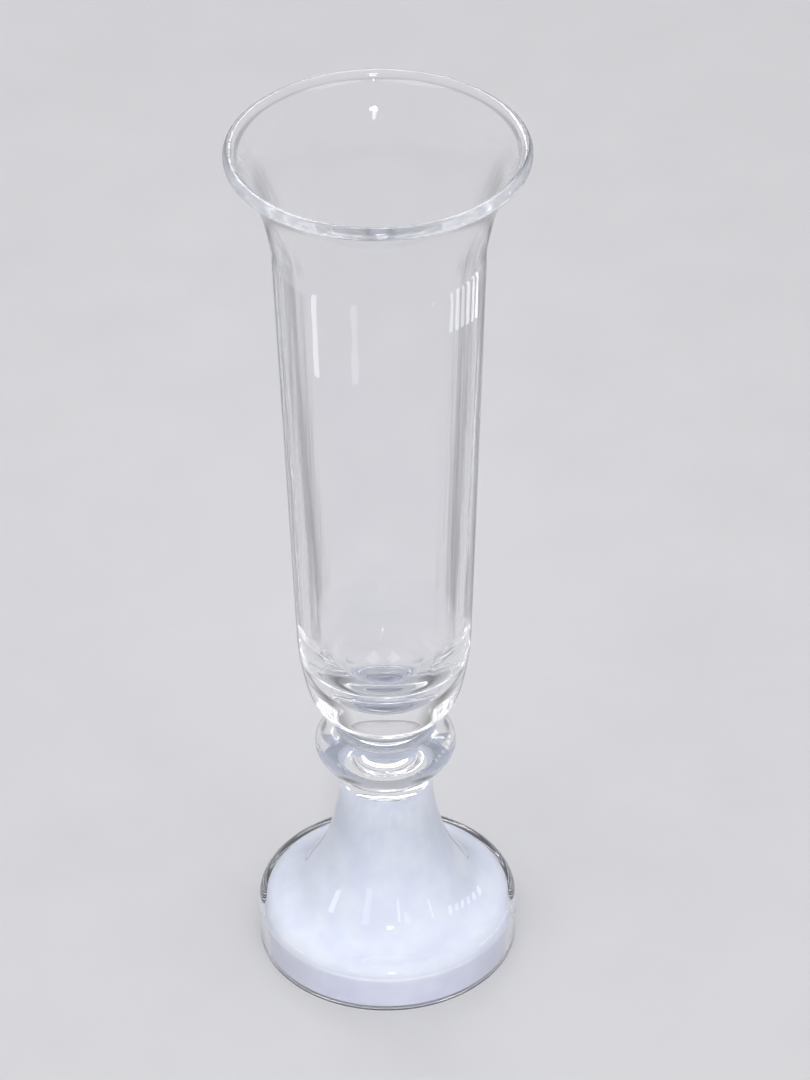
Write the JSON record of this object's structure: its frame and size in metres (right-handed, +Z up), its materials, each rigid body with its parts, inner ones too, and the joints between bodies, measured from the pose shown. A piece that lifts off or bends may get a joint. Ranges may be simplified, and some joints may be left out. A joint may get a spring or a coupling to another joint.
{
  "type": "trumpet vase",
  "caption": "Tall footed glass vase: flared bowl with a thick round lip, short knopped stem and a hollow bell foot, clear outside and frosted within.",
  "frame": {"origin": "middle of the ring that the foot stands on, at table height", "axes": "+Z up along the vase's axis of revolution; X and Y are free, since every piece is round"},
  "size_m": [0.1514, 0.1514, 0.5],
  "materials": {
    "clear_glass": "clear, fire-polished",
    "frosted_glass": "frosted, matt, milky"
  },
  "bodies": {
    "root": {"bowl": "clear_glass", "upper_merese": "clear_glass", "knop": "clear_glass", "lower_merese": "clear_glass", "foot": "clear_glass", "foot_frosted_layer": "frosted_glass"}
  },
  "joints": []
}
